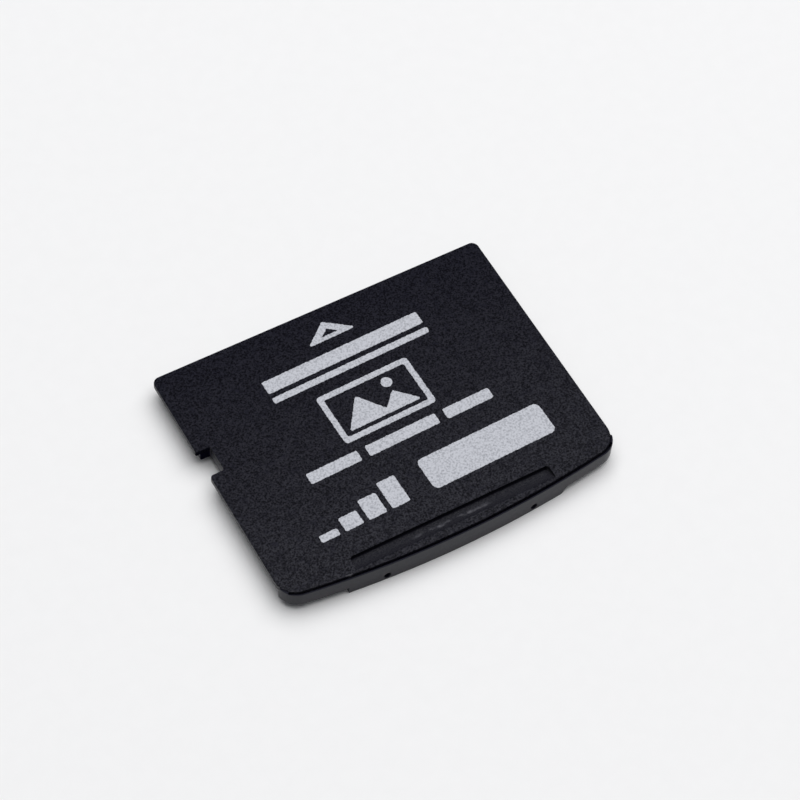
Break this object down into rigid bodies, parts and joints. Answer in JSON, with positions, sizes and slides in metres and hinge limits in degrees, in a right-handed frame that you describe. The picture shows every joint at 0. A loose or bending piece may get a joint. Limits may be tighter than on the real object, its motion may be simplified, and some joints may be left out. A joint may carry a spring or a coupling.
{
  "type": "picture memory card",
  "caption": "Thin rectangular picture memory card for a camera, with a bowed grip edge, finger pocket, side notch and a row of flat contacts underneath.",
  "frame": {"origin": "centre of the card's box, on the lowest face, which is the pad that the card rests on", "axes": "+X along the card's width, to the right with the label upright; +Y towards the contact edge, which goes into the slot first; +Z out of the label face"},
  "size_m": [0.025, 0.02, 0.0018],
  "materials": {
    "cover_plastic": "fine blasted texture",
    "case_plastic": "smooth moulded",
    "board_laminate": "solder mask",
    "package_resin": "moulded resin",
    "chip_ceramic": "fired ceramic",
    "resistor_ceramic": "coated ceramic",
    "print_ink": "pad-printed ink",
    "contact_gold": "satin gold plating"
  },
  "bodies": {
    "root": {"top_cover": "cover_plastic", "bottom_case": "case_plastic", "circuit_board": "board_laminate", "memory_package": "package_resin", "capacitor_1": "chip_ceramic", "capacitor_2": "chip_ceramic", "pull_up_resistor": "resistor_ceramic", "insertion_arrow": "print_ink", "title_bars": "print_ink", "picture_emblem": "print_ink", "format_bars": "print_ink", "capacity_gauge": "print_ink", "writing_panel": "print_ink", "contact_01": "contact_gold", "contact_02": "contact_gold", "contact_03": "contact_gold", "contact_04": "contact_gold", "contact_05": "contact_gold", "contact_06": "contact_gold", "contact_07": "contact_gold", "contact_08": "contact_gold", "contact_09": "contact_gold", "contact_10": "contact_gold", "contact_11": "contact_gold", "contact_12": "contact_gold", "contact_13": "contact_gold", "contact_14": "contact_gold", "contact_15": "contact_gold", "contact_16": "contact_gold", "contact_17": "contact_gold", "contact_18": "contact_gold"}
  },
  "joints": []
}
